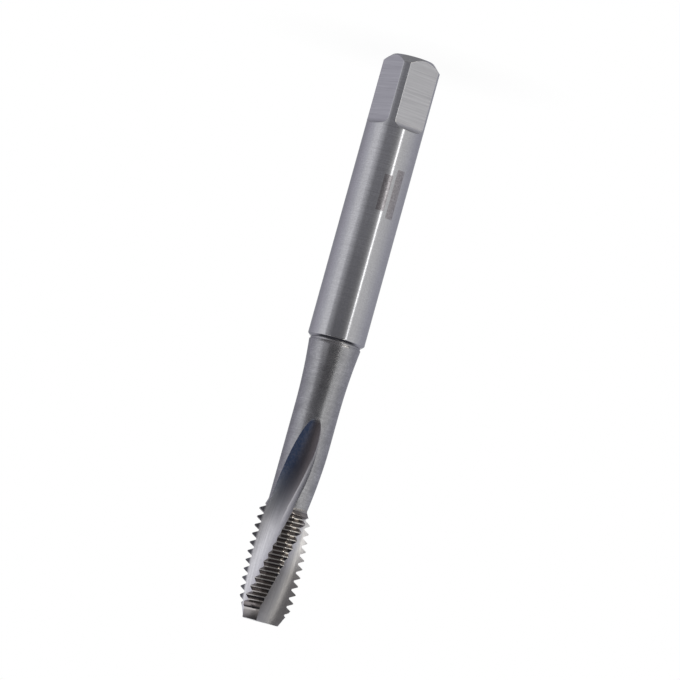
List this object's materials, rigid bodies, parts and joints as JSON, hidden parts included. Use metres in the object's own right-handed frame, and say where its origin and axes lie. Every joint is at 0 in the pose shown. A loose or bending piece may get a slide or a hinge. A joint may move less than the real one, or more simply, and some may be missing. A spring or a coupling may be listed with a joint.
{
  "type": "thread tap",
  "caption": "Machine tap with a square drive end, a plain shank, a waisted neck and a tapered thread cut through by helical flutes, for cutting an internal thread in a drilled hole.",
  "frame": {"origin": "centre of the square end's face, on the tap's axis", "axes": "+Z along the axis from the square end to the cutting tip, +X and +Y square to the flats of the drive"},
  "size_m": [0.01, 0.01, 0.1],
  "materials": {
    "tool_steel": "ground satin shank, bright ground flutes, darker oiled thread"
  },
  "bodies": {
    "root": {"thread_tap": "tool_steel"}
  },
  "joints": []
}
